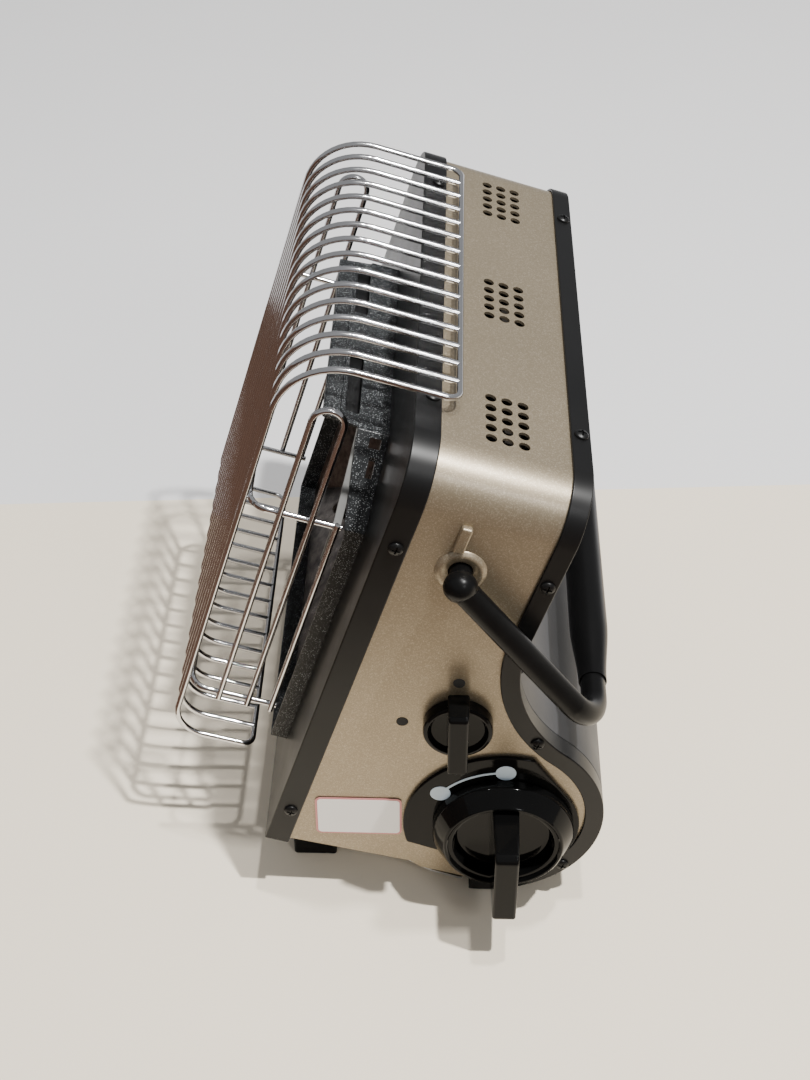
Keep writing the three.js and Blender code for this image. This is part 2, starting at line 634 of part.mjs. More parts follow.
const SIDE_SCREWS = {
  front_upper: [6, -38.3],
  front_lower: [6.1, -190.6],
  rear_upper: [REAR_EDGE - REAR_BAND / 2, -38.9],
  rear_middle: polar(SWEEP, SWEEP_R + REAR_BAND / 2, 234),
  rear_lower: polar(LOBE, LOBE_R - REAR_BAND / 2, -25),
};
const TOP_SCREWS = { front_top: [80, 6.7], rear_top: [79.5, REAR_EDGE - REAR_BAND / 2] };

// ---- Assembly ----
const FINISH = {
  shell: { color: 0x9b8f76, roughness: 0.4, metalness: 0.6 },
  frame: { color: 0x17181a, roughness: 0.45, metalness: 0.2 },
  panel: { color: 0x55585c, roughness: 0.5, metalness: 0.3 },
  enamel: { color: 0x26292b, roughness: 0.7, metalness: 0.1 },
  chrome: { color: 0xd4d6d8, roughness: 0.15, metalness: 1 },
  steel: { color: 0x9a9c9e, roughness: 0.35, metalness: 1 },
  brass: { color: 0xb08d4a, roughness: 0.35, metalness: 1 },
  plastic: { color: 0x0e0e10, roughness: 0.2, metalness: 0 },
  soft: { color: 0x1b1b1d, roughness: 0.6, metalness: 0 },
  rubber: { color: 0x151515, roughness: 0.9, metalness: 0 },
  ceramic: { color: 0xd8c9ad, roughness: 0.9, metalness: 0 },
  paint: { color: 0xe6e3dc, roughness: 0.4, metalness: 0.2 },
};

function heater() {
  const group = new THREE.Group();
  const materials = Object.fromEntries(
    Object.entries(FINISH).map(([name, look]) => [name, new THREE.MeshStandardMaterial(look)]),
  );
  const add = (name, finish, body) => {
    const made = body.getMesh();
    const geometry = new THREE.BufferGeometry();
    geometry.setAttribute("position", new THREE.BufferAttribute(made.vertProperties, 3));
    geometry.setIndex(new THREE.BufferAttribute(made.triVerts, 1));
    geometry.computeVertexNormals();
    const mesh = new THREE.Mesh(geometry, materials[finish]);
    mesh.name = name;
    group.add(mesh);
  };
  const pair = (name, finish, make) => {
    add(name + "_right", finish, make(1));
    add(name + "_left", finish, make(-1));
  };

  add("shell_panel", "shell", shellPanel());
  add("front_frame", "frame", frontFrame());
  add("rear_frame", "frame", rearFrame());
  add("rear_panel", "panel", rearPanel());
  add("can_cover", "panel", canCover());
  add("base_plate", "steel", basePlate());
  add("side_label", "paint", sideLabel());
  pair("front_foot", "soft", frontFoot);
  pair("rear_foot", "rubber", rearFoot);

  add("burner_frame", "enamel", burnerFrame());
  add("reflector", "steel", reflector());
  add("burner_plaque", "ceramic", plaque());
  add("burner_box", "steel", burnerBox());
  add("burner_mesh", "steel", burnerMesh());
  add("mixing_tube", "steel", mixingTube());
  add("gas_nozzle", "brass", nozzle());
  add("gas_pipe", "brass", gasPipe());
  add("ignition_electrode", "ceramic", electrode());
  add("thermocouple", "brass", thermocouple());
  add("sensor_bracket", "steel", sensorBracket());
  add("heat_shield", "steel", heatShield());

  add("gas_canister", "paint", canister());
  add("can_cradle", "steel", canCradle());
  add("magnet_seat", "steel", magnetSeat());
  add("regulator", "brass", regulator());
  add("valve_spindle", "brass", spindle());
  add("igniter_body", "soft", igniterBody());
  add("igniter_plunger", "soft", igniterPlunger());
  add("mode_valve", "brass", modeValve());
  add("mode_spindle", "brass", modeSpindle());
  add("tip_over_switch", "soft", tipSwitch());

  add("knob_escutcheon", "plastic", escutcheon());
  add("ignition_knob", "plastic", ignitionKnob());
  add("mode_knob", "plastic", modeKnob());

  add("handle_bail", "soft", handleBail());
  add("handle_grip", "soft", handleGrip());

  add("guard_front", "chrome", guardFront());
  add("guard_top", "chrome", guardTop());
  add("guard_bottom", "chrome", guardBottom());
  pair("guard_side", "chrome", guardSide);

  for (const [place, [y, z]] of Object.entries(SIDE_SCREWS))
    pair("screw_" + place, "frame", (side) => screw(side * SKIN, y, z, "x"));
  for (const [place, [x, y]] of Object.entries(TOP_SCREWS))
    pair("screw_" + place, "frame", (side) => screw(side * x, y, SHEET + GAP, "z"));

  group.rotation.x = rad(-TILT);
  const stand = new THREE.Group().add(group);
  stand.updateMatrixWorld(true);
  const size = new THREE.Box3().setFromObject(stand, true);
  const middle = size.getCenter(new THREE.Vector3());
  stand.position.set(-middle.x, -middle.y, -size.min.z);
  return stand;
}

export default heater();
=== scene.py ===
"""Looks of the portable gas radiant heater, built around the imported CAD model, for Blender 4.5.

Shapes are drawn in body axes in millimetres, because the heater leans back on its feet: X across, Y from the
front face back, and Z up from the top panel, so that the case lies below zero. piece() puts each mesh into
the part's frame, in metres.
"""

import json
import math

import bmesh
import bpy
from mathutils import Matrix, Vector


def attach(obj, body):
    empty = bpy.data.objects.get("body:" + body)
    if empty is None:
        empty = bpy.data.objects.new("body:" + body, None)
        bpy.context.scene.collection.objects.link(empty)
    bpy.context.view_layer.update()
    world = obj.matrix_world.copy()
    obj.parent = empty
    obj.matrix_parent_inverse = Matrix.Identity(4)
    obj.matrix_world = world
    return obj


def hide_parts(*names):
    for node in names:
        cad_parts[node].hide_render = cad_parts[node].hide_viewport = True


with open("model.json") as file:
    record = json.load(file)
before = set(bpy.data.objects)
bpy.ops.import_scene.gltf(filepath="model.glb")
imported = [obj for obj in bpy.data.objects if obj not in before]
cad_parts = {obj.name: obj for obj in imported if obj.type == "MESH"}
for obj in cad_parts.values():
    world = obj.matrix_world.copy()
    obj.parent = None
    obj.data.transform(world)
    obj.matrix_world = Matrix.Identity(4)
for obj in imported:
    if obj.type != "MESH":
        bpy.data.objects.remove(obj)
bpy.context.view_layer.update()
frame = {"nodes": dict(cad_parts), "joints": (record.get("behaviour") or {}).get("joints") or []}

# ---- Driving dimensions, in millimetres ----
# They are the CAD's, or up to 0.3 mm inside them, so that rounder shapes stay within its box.
TILT = math.radians(17)
GAP = 0.3
SHEET = 1.2
HALF = 120.0  # half width of the shell
BEND = 20.0
FRONT_BAND = 10.4
REAR_EDGE = 68.4
REAR_BAND = 7.8
SKIN = HALF + GAP + SHEET
FLOOR = -211.7
BEYOND = 140.0  # past the case sideways and behind, for the ends of cutting tools
BELOW = -240.0  # under the case
VENT_GROUPS = (-81.2, 0, 81.2)
VENT_Y, VENT_R = 36.0, 2.22
VENT_STEP = (6.21, 6.37)
LOBE = (84.3, -167.7)
LOBE_R = 49.1
SWEEP_R = 57.0
SWEEP = (
    REAR_EDGE + SWEEP_R,
    LOBE[1] + math.sqrt((SWEEP_R + LOBE_R) ** 2 - (REAR_EDGE + SWEEP_R - LOBE[0]) ** 2),
)
SIDE_BAND_END = -80.0  # in degrees about LOBE, like COVER_END
MEET = math.degrees(math.atan2(SWEEP[1] - LOBE[1], SWEEP[0] - LOBE[0]))
CAN = (93.0, -171.0)
PIVOT = (32.0, -42.5)
PIVOT_HOLE = 4.6
GRIP = (105.5, -96.4)
GRIP_R = 7.9
GRIP_HALF = 70.0  # of the full-width part
GRIP_TAPER = 33.0
ARM_X = 128.8
ARM_R = 5.1
ARM_BEND = 17.0
BALL_R, BALL_DEEP = 6.5, 5.5
MODE = (56.2, -119.2)
MODE_R = 14.0
MODE_HOLE = 4.2
KNOB_R = 29.5
ARCH_HALF, ARCH_SHOULDER = 86.0, 61.0
ARCH_TOP, ARCH_SPRING, ARCH_BOTTOM = -34.8, -65.0, -187.0
HOOD_LIP, HOOD_BACK = -26.7, 3.0
HOOD_SLOTS = ((11.5, 40), (-54, 35))  # x, width
HOOD_NOTCHES = ((63.2, 3.6, -6.8, 4.6), (69.8, 5.2, -5.2, 2.6))  # x, width, y, depth, on both sides
MESH_HALF, MESH_Y, MESH_LOW, MESH_HIGH, MESH_WIRE = 48.6, 18.0, -147.0, -85.0, 0.45
MESH_COLUMNS, MESH_ROWS = 25, 16
WIRE = 1.25  # radius of the guard's wires
PITCH = 11.44
GUARD_FRONT, GUARD_BACK, GUARD_HEEL = -48.6, 15.4, -13.0
GUARD_TOP, GUARD_BOTTOM = 6.9, -196.1
BEND_TOP, BEND_BOTTOM = 25.0, 14.0
HOOPS = (-65.3, -168.7)
HOOP_X = 85.4
HOOP_END = -9.2
HAIRPIN = (-33.7, -21.3)
HAIRPIN_TOP = -10.9
STAY_Y = -11.2
WELD = 0.3  # how far two welded wires sink into each other
COVER_TOP, COVER_END = 203.0, -62.0  # in degrees about SWEEP and LOBE
COVER_HALF = 113.0
LABEL = (-78.7, -42.5, -8.6, 13.9)  # level, about the canister axis: two in Y, two in Z
DOT_ANGLES, DOT_AT, DOT_R = (90, 180), 22.2, 2.4
MARK_ANGLES, MARK_AT, MARK_R = (90, 143), 33.2, 4.2

# The body axes sit in the part's frame by the handle's hinge, which is in both.
HINGE_AT = Vector(next(j for j in frame["joints"] if j["name"] == "handle_swing")["pos_m"])
LEAN = Matrix.Rotation(-TILT, 4, "X")
PLACE = Matrix.Translation(HINGE_AT) @ LEAN @ Matrix.Translation((0, -PIVOT[0] / 1000, -PIVOT[1] / 1000))
TO_PART = PLACE @ Matrix.Scale(0.001, 4)

# ---- Stage and camera, in metres and degrees ----
TABLE_EDGE_LEFT, TABLE_EDGE_RIGHT = (-0.149, -0.226), (-0.180, 0.229)  # two points (X, Y) of the edge
CAMERA_FROM_BODY = (0.5788, 0.0111, 0.3568)
CAMERA_TURN = (49.48, 0, 91.66)
CAMERA_LENS, CAMERA_SENSOR = 55.79, 36


# ---- Mesh helpers ----
def polar(centre, r, degrees):
    a = math.radians(degrees)
    return (centre[0] + r * math.cos(a), centre[1] + r * math.sin(a))


def arc(centre, r, start, end, steps):
    return [polar(centre, r, start + (end - start) * i / steps) for i in range(steps + 1)]


def new_object(name, bm):
    bmesh.ops.recalc_face_normals(bm, faces=bm.faces)
    mesh = bpy.data.meshes.new(name)
    bm.to_mesh(mesh)
    bm.free()
    obj = bpy.data.objects.new(name, mesh)
    bpy.context.scene.collection.objects.link(obj)
    return obj


def prism(points, low, high, axis="x"):
    """Outline in (y, z) for axis x, in (x, z) for axis y or in (x, y) for axis z, run from low to high."""
    place = {
        "x": lambda a, b, c: (c, a, b),
        "y": lambda a, b, c: (a, c, b),
        "z": lambda a, b, c: (a, b, c),
    }[axis]
    bm = bmesh.new()
    first = [bm.verts.new(place(a, b, low)) for a, b in points]
    second = [bm.verts.new(place(a, b, high)) for a, b in points]
    bm.faces.new(first)
    bm.faces.new(reversed(second))
    for i in range(len(points)):
        j = (i + 1) % len(points)
        bm.faces.new((first[i], first[j], second[j], second[i]))
    return new_object("prism", bm)


def block(x0, x1, y0, y1, z0, z1):
    return prism([(x0, y0), (x1, y0), (x1, y1), (x0, y1)], z0, z1, "z")


def turned(profile, y=0.0, z=0.0, steps=64):
    """Turned about the X axis through (y, z).

    The profile's points are (radius, x). It starts and ends on the axis, or closes on itself.
    """
    closed = profile[0] == profile[-1]
    rows = profile[:-1] if closed else profile
    bm = bmesh.new()
    rings = []
    for r, x in rows:
        if r < 1e-6:
            rings.append([bm.verts.new((x, y, z))] * steps)
            continue
        angles = [2 * math.pi * k / steps for k in range(steps)]
        rings.append([bm.verts.new((x, y + r * math.cos(a), z + r * math.sin(a))) for a in angles])
    pairs = list(zip(rings, rings[1:] + rings[:1])) if closed else list(zip(rings, rings[1:]))
    for a, b in pairs:
        for k in range(steps):
            n = (k + 1) % steps
            corners = list(dict.fromkeys((a[k], a[n], b[n], b[k])))
            if len(corners) > 2:
                bm.faces.new(corners)
    return new_object("turned", bm)


def rod(y, z, r, x0, x1):
    """Round bar along X, to cut a hole with."""
    return turned([(0, x0), (r, x0), (r, x1), (0, x1)], y, z)


def rounded_path(corners, steps=10):
    """Points along a polyline of (x, y, z) or (x, y, z, bend radius), with its corners rounded."""
    points = []
    for i, corner in enumerate(corners):
        here = Vector(corner[:3])
        if len(corner) < 4:
            points.append(here)
            continue
        a = (Vector(corners[i - 1][:3]) - here).normalized()
        b = (Vector(corners[i + 1][:3]) - here).normalized()
        half = a.angle(b) / 2
        centre = here + (a + b).normalized() * (corner[3] / math.sin(half))
        start = here + a * (corner[3] / math.tan(half)) - centre
        axis = b.cross(a).normalized()
        for k in range(steps + 1):
            points.append(centre + Matrix.Rotation((math.pi - 2 * half) * k / steps, 3, axis) @ start)
    return points


def tube(corners, r, sides=14, steps=10):
    """Round bar along a bent line."""
    points = rounded_path(corners, steps)
    bm = bmesh.new()
    rings = []
    normal = None
    for i, p in enumerate(points):
        before = points[max(i - 1, 0)]
        after = points[min(i + 1, len(points) - 1)]
        tangent = ((p - before).normalized() + (after - p).normalized()).normalized()
        if normal is None:
            normal = tangent.orthogonal().normalized()
        normal = (normal - tangent * normal.dot(tangent)).normalized()
        across = tangent.cross(normal)
        angles = [2 * math.pi * k / sides for k in range(sides)]
        rings.append([bm.verts.new(p + (normal * math.cos(a) + across * math.sin(a)) * r) for a in angles])
    for a, b in zip(rings, rings[1:]):
        for k in range(sides):
            n = (k + 1) % sides
            bm.faces.new((a[k], a[n], b[n], b[k]))
    bm.faces.new(reversed(rings[0]))
    bm.faces.new(rings[-1])
    return new_object("tube", bm)


def modify(obj, kind, **values):
    modifier = obj.modifiers.new(kind.lower(), kind)
    for key, value in values.items():
        setattr(modifier, key, value)
    return obj


def bake(obj):
    """Applies every modifier."""
    depsgraph = bpy.context.evaluated_depsgraph_get()
    mesh = bpy.data.meshes.new_from_object(obj.evaluated_get(depsgraph))
    obj.modifiers.clear()
    obj.data = mesh
    return obj


def boolean(obj, other, operation):
    modify(obj, "BOOLEAN", object=other, operation=operation, solver="EXACT")
    bake(obj)
    bpy.data.objects.remove(other)
    return obj


def cut(obj, *tools):
    for tool in tools:
        boolean(obj, tool, "DIFFERENCE")
    return obj


def merge(objects, name):
    """One mesh of several, without joining their surfaces."""
    bm = bmesh.new()
    for obj in objects:
        bm.from_mesh(obj.data)
        bpy.data.objects.remove(obj)
    return new_object(name, bm)


def mirrored(obj):
    copy = bpy.data.objects.new(obj.name + "_mirror", obj.data.copy())
    bpy.context.scene.collection.objects.link(copy)
    copy.data.transform(Matrix.Scale(-1, 4, (1, 0, 0)))
    copy.data.flip_normals()
    return copy


def both_sides(obj, name):
    return merge([mirrored(obj), obj], name)


def bevel(obj, width, segments=3, angle=35):
    modify(
        obj, "BEVEL", width=width, segments=segments, limit_method="ANGLE",
        angle_limit=math.radians(angle), use_clamp_overlap=True, miter_outer="MITER_ARC",
    )
    return bake(obj)


def weld(obj):
    """Joins a faceted mesh's vertices and dissolves its flat edges, so that it can be bevelled."""
    bm = bmesh.new()
    bm.from_mesh(obj.data)
    bmesh.ops.remove_doubles(bm, verts=bm.verts, dist=1e-3)
    bmesh.ops.dissolve_limit(bm, angle_limit=math.radians(2), verts=bm.verts, edges=bm.edges)
    bm.to_mesh(obj.data)
    bm.free()


def smooth(obj, angle=32):
    """Smooth shading, with flat faces kept flat."""
    obj.data.polygons.foreach_set("use_smooth", [True] * len(obj.data.polygons))
    obj.data.set_sharp_from_angle(angle=math.radians(angle))
    modify(obj, "WEIGHTED_NORMAL", keep_sharp=True, weight=80)
    return bake(obj)


def level(obj):
    """A mesh drawn about the canister axis and level with the ground, put into body axes."""
    obj.data.transform(Matrix.Translation((0, CAN[0], CAN[1])) @ Matrix.Rotation(TILT, 4, "X"))
    return obj


def piece(obj, name, body, material, nodes=(), shade=32):
    """Finishes a mesh drawn in body axes as a named piece of the model."""
    smooth(obj, shade)
    obj.data.transform(TO_PART)
    obj.name = name
    obj.data.name = name
    obj.data.materials.clear()
    obj.data.materials.append(material)
    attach(obj, body)
    if nodes:
        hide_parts(*nodes)
    return obj


# ---- Materials ----
class Nodes:
    """A material's node tree, with short calls for the nodes used here."""

    def __init__(self, name):
        self.material = bpy.data.materials.new(name)
        self.material.use_nodes = True
        self.tree = self.material.node_tree
        self.shader = self.tree.nodes["Principled BSDF"]
        self.where = self.add("ShaderNodeTexCoord").outputs["Object"]

    def add(self, kind, **inputs):
        node = self.tree.nodes.new(kind)
        for key, value in inputs.items():
            self.set(node, key, value)
        return node

    def set(self, node, key, value):
        socket = node.inputs[key.replace("_", " ")] if isinstance(key, str) else node.inputs[key]
        if isinstance(value, bpy.types.NodeSocket):
            self.tree.links.new(value, socket)
        else:
            socket.default_value = value

    def noise(self, scale, detail=4.0, roughness=0.55):
        node = self.add("ShaderNodeTexNoise", Scale=scale, Detail=detail, Roughness=roughness)
        self.set(node, "Vector", self.where)
        return node.outputs["Fac"]

    def cells(self, scale, output="Distance"):
        node = self.add("ShaderNodeTexVoronoi", Scale=scale)
        self.set(node, "Vector", self.where)
        return node.outputs[output]

    def ramp(self, value, *stops):
        node = self.add("ShaderNodeValToRGB")
        self.set(node, "Fac", value)
        elements = node.color_ramp.elements
        while len(elements) < len(stops):
            elements.new(0.5)
        for element, (position, color) in zip(elements, stops):
            element.position = position
            element.color = (*color, 1) if isinstance(color, tuple) else (color, color, color, 1)
        return node.outputs["Color"]

    def mix(self, factor, a, b):
        node = self.add("ShaderNodeMix")
        node.data_type = "RGBA"
        for index, value in ((0, factor), (6, a), (7, b)):
            if isinstance(value, tuple):
                value = (*value, 1)
            self.set(node, index, value)
        return node.outputs[2]

    def math(self, operation, a, b):
        node = self.add("ShaderNodeMath")
        node.operation = operation
        self.set(node, 0, a)
        self.set(node, 1, b)
        return node.outputs[0]

    def bump(self, height, strength, distance=0.0002):
        node = self.add("ShaderNodeBump", Strength=strength, Distance=distance, Height=height)
        self.set(self.shader, "Normal", node.outputs["Normal"])

    def worn(self, color, amount, bright):
        """Lighter, rubbed edges where the surface turns sharply."""
        edge = self.ramp(self.add("ShaderNodeNewGeometry").outputs["Pointiness"], (0.52, 0.0), (0.62, 1.0))
        patchy = self.math("MULTIPLY", edge, self.ramp(self.noise(180), (0.45, 0.0), (0.65, amount)))
        return self.mix(patchy, color, bright)

    def finish(self, **inputs):
        for key, value in inputs.items():
            if isinstance(value, tuple):
                value = (*value, 1)
            self.set(self.shader, key, value)
        return self.material


def gold_paint():
    """Champagne metallic: a warm base with fine bright flake under a satin coat."""
    n = Nodes("gold_paint")
    base = n.mix(n.noise(9, 3), (0.25, 0.203, 0.138), (0.282, 0.231, 0.16))
    flake = n.ramp(n.cells(2600, output="Color"), (0.55, 0.0), (0.95, 1.0))
    color = n.mix(n.math("MULTIPLY", flake, 0.35), base, (0.62, 0.55, 0.43))
    n.bump(n.noise(1900, 2), 0.06, 0.0001)
    rough = n.ramp(n.noise(14, 4), (0.3, 0.35), (0.7, 0.43))
    return n.finish(Base_Color=color, Metallic=0.62, Roughness=rough, Coat_Weight=0.25, Coat_Roughness=0.22)


def satin_black(name, tone=0.004, rough=(0.31, 0.38), grain=0.005, shine=0.25):
    """Black paint or moulding with a low sheen, rubbed lighter at its edges."""
    n = Nodes(name)
    color = n.mix(n.noise(25, 4), (tone, tone, tone * 1.05), (tone * 1.7, tone * 1.7, tone * 1.75))
    n.bump(n.noise(700, 2), grain, 0.00015)
    return n.finish(
        Base_Color=n.worn(color, 0.02, (0.1, 0.1, 0.1)),
        Roughness=n.ramp(n.noise(40, 4), (0.3, rough[0]), (0.7, rough[1])),
        Specular_IOR_Level=shine,
    )


def grey_panel():
    """Dark grey satin powder coat, with a fine orange-peel texture."""
    n = Nodes("grey_panel")
    color = n.mix(n.noise(12, 4), (0.034, 0.034, 0.037), (0.044, 0.044, 0.047))
    n.bump(n.noise(900, 3), 0.1, 0.0002)
    rough = n.ramp(n.noise(30, 3), (0.3, 0.42), (0.7, 0.52))
    return n.finish(Base_Color=color, Roughness=rough, Specular_IOR_Level=0.35)


def speckled_enamel():
    """Black vitreous enamel, thickly flecked with grey-white."""
    n = Nodes("speckled_enamel")
    small = n.ramp(n.cells(1600), (0.2, 1.0), (0.3, 0.0))
    patch = n.ramp(n.noise(260, 1), (0.35, 0.3), (0.6, 1.0))
    fleck = n.math("MULTIPLY", small, patch)
    color = n.mix(fleck, (0.005, 0.006, 0.007), (0.42, 0.44, 0.45))
    n.bump(n.noise(1400, 3), 0.2, 0.0002)
    return n.finish(Base_Color=color, Roughness=n.ramp(n.noise(600, 3), (0.3, 0.3), (0.7, 0.5)))


def chrome():
    n = Nodes("guard_chrome")
    color = n.mix(n.noise(60, 4), (0.62, 0.62, 0.63), (0.74, 0.74, 0.75))
    n.bump(n.noise(700, 2), 0.03, 0.0001)
    rough = n.ramp(n.noise(130, 4), (0.35, 0.09), (0.7, 0.2))
    return n.finish(Base_Color=color, Metallic=1.0, Roughness=rough)


def hot_steel():
    """Reflector sheet, browned nearly black by heat, and mottled."""
    n = Nodes("reflector_steel")
    stain = n.noise(160, 6, 0.7)
    color = n.mix(n.ramp(stain, (0.35, 0.0), (0.65, 1.0)), (0.13, 0.11, 0.098), (0.035, 0.03, 0.027))
    n.bump(n.noise(300, 3), 0.1, 0.0003)
    return n.finish(Base_Color=color, Metallic=0.9, Roughness=n.ramp(stain, (0.3, 0.24), (0.7, 0.42)))


def dull_metal(name, dark, light, metallic):
    """Sheet dulled and stained by heat."""
    n = Nodes(name)
    n.bump(n.noise(600, 4), 0.15, 0.0002)
    rough = n.ramp(n.noise(60, 4), (0.3, 0.42), (0.7, 0.6))
    return n.finish(Base_Color=n.mix(n.noise(120, 5), dark, light), Metallic=metallic, Roughness=rough)


def sheet_steel():
    n = Nodes("sheet_steel")
    color = n.mix(n.noise(45, 5), (0.42, 0.42, 0.43), (0.58, 0.58, 0.59))
    n.bump(n.noise(500, 4), 0.08, 0.0002)
    rough = n.ramp(n.noise(60, 4), (0.3, 0.28), (0.7, 0.45))
    return n.finish(Base_Color=color, Metallic=1.0, Roughness=rough)


def brass():
    n = Nodes("brass")
    color = n.mix(n.noise(55, 5), (0.5, 0.36, 0.14), (0.68, 0.52, 0.24))
    n.bump(n.noise(800, 3), 0.05, 0.0001)
    rough = n.ramp(n.noise(80, 4), (0.3, 0.22), (0.7, 0.4))
    return n.finish(Base_Color=color, Metallic=1.0, Roughness=rough)


def gloss_black():
    """Glossy moulded plastic with faint handling marks."""
    n = Nodes("gloss_black")
    color = n.mix(n.noise(20, 3), (0.002, 0.002, 0.002), (0.005, 0.005, 0.005))
    n.bump(n.noise(220, 3), 0.02, 0.0001)
    smear = n.ramp(n.noise(48, 5), (0.4, 0.05), (0.75, 0.12))
    return n.finish(Base_Color=color, Roughness=smear, Specular_IOR_Level=0.12)


def ceramic():
    """Burner plaque: unglazed ceramic pierced by rows of fine holes, with painted shade in the holes."""
    n = Nodes("ceramic")
    # Mask of the fine holes: it bumps them in and paints them near black, which is painted shade.
    hole = n.ramp(n.cells(520), (0.18, 0.0), (0.3, 1.0))
    clay = n.mix(n.noise(30, 4), (0.62, 0.54, 0.42), (0.74, 0.68, 0.56))
    n.bump(hole, 0.6, 0.0006)
    rough = n.ramp(n.noise(90), (0.3, 0.8), (0.7, 0.95))
    return n.finish(Base_Color=n.mix(hole, (0.08, 0.06, 0.05), clay), Roughness=rough)


def pale_paint(name, tint):
    """Smooth satin paint or print, a little uneven in tone."""
    n = Nodes(name)
    darker = tuple(c * 0.93 for c in tint)
    n.bump(n.noise(600, 3), 0.04, 0.0001)
    rough = n.ramp(n.noise(50), (0.3, 0.32), (0.7, 0.48))
    return n.finish(Base_Color=n.mix(n.noise(30, 4), darker, tint), Roughness=rough)


def rubber():
    n = Nodes("rubber")
    color = n.mix(n.noise(80, 4), (0.012, 0.012, 0.012), (0.025, 0.025, 0.025))
    n.bump(n.noise(900, 4), 0.3, 0.0003)
    return n.finish(Base_Color=color, Roughness=n.ramp(n.noise(120), (0.3, 0.75), (0.7, 0.92)))


GOLD = gold_paint()
BLACK = satin_black("black_frame")
HANDLE = satin_black("handle_black", 0.003, (0.28, 0.36), 0.02, 0.13)
GREY = grey_panel()
ENAMEL = speckled_enamel()
CHROME = chrome()
HOT = hot_steel()
STEEL = sheet_steel()
BURNT = dull_metal("burnt_steel", (0.02, 0.018, 0.016), (0.07, 0.06, 0.052), 0.7)
DULL = dull_metal("dull_steel", (0.16, 0.16, 0.155), (0.26, 0.26, 0.25), 0.5)
BRASS = brass()
GLOSS = gloss_black()
CERAMIC = ceramic()
PALE = pale_paint("can_paint", (0.88, 0.86, 0.85))
MARK = pale_paint("mark_blue", (0.5, 0.6, 0.7))
LABEL_RIM = pale_paint("label_rim", (0.62, 0.24, 0.24))
RUBBER = rubber()


# ---- Outlines of the body ----
def floor_angle(inset):
    """Where the gas compartment's round back meets the floor, in degrees."""
    return -180 - math.degrees(math.asin((FLOOR + inset - LOBE[1]) / (LOBE_R - inset)))


def back_line(inset, end, top=None, start=180.0):
    """The back's hollow sweep and round lobe in (y, z), from the angle start down to the angle end."""
    head = [] if top is None else [(REAR_EDGE - inset, top)]
    sweep = arc(SWEEP, SWEEP_R + inset, start, 180 + MEET, 24)
    lobe = arc(LOBE, LOBE_R - inset, MEET, end, 48)
    return head + sweep + lobe[1:]


def back_strip(outer, inner, x0, x1, end, **span):
    return prism(back_line(outer, end, **span) + back_line(inner, end, **span)[::-1], x0, x1)


def arch_line(g, low):
    """The case from the front in (x, z): up one side, over the top and down, grown by g."""
    right = arc((HALF - BEND, -BEND), BEND + g, 0, 90, 20)
    return [(HALF + g, low)] + right + [(-x, z) for x, z in reversed(right)] + [(-HALF - g, low)]


def arch_strip(outer, inner, low, y0, y1):
    return prism(arch_line(outer, low) + arch_line(inner, low)[::-1], y0, y1, "y")


def opening_line(g):
    """Outline of the burner's mouth, with straight chamfered shoulders, grown by g."""
    side = ARCH_HALF + g
    right = [(side, ARCH_BOTTOM - g), (side, ARCH_SPRING), (ARCH_SHOULDER + 0.4 * g, ARCH_TOP + g)]
    return right + [(-x, z) for x, z in reversed(right)]


# ---- Case ----
def vents():
    """Tools for the three groups of round holes in the top."""
    holes = []
    for x in VENT_GROUPS:
        for i in range(-2, 3):
            for j in range(-1, 2):
                centre = (x + VENT_STEP[0] * i, VENT_Y + VENT_STEP[1] * j)
                holes.append(prism(arc(centre, VENT_R, 0, 345, 23), -5, 5, "z"))
    return merge(holes, "holes")


def pivot_trim():
    """Rolled collar round the handle's pivot, and the lug above it."""
    x = HALF
    profile = [
        (PIVOT_HOLE, x - 0.6), (9.8, x - 0.6), (9.8, x), (9.5, x + 0.7), (8.8, x + 1.3), (7.9, x + 1.6),
        (6.9, x + 1.4), (5.8, x + 0.9), (PIVOT_HOLE, x + 0.3), (PIVOT_HOLE, x - 0.6),
    ]
    collar = turned(profile, *PIVOT, steps=96)
    y, z = PIVOT
    lug = bevel(block(x - 0.6, x + 2.6, y - 6.4, y - 2, z + 9.4, z + 21.4), 1.0, 4)
    return both_sides(merge([collar, lug], "trim"), "trims")


def shell():
    low = FLOOR + SHEET + GAP
    side = [(2.5, 20.0), (2.5, low)] + back_line(4, floor_angle(4), top=20.0)[::-1]
    obj = boolean(arch_strip(0, -SHEET, low, 0, BEYOND), prism(side, -BEYOND, BEYOND), "INTERSECT")
    cut(obj, vents())
    cut(obj, both_sides(rod(*PIVOT, PIVOT_HOLE, 100, BEYOND), "pivots"))
    for (y, z), r in ((CAN, 7.0), (MODE, MODE_HOLE)):
        cut(obj, rod(y, z, r, 100, BEYOND))
    bevel(obj, 0.35, 2)
    piece(merge([obj, pivot_trim()], "shell"), "shell_skin", "case", GOLD, ["shell_panel"])


def front_frame():
    obj = prism(arch_line(SHEET + GAP, FLOOR), 0, FRONT_BAND, "y")
    inner = arch_line(GAP, FLOOR + SHEET)
    cut(obj, prism(inner, SHEET, FRONT_BAND + 5, "y"), prism(opening_line(GAP), -5, 5, "y"))
    bevel(obj, 0.9, 4, 40)
    piece(obj, "front_frame_skin", "case", BLACK, ["front_frame"])


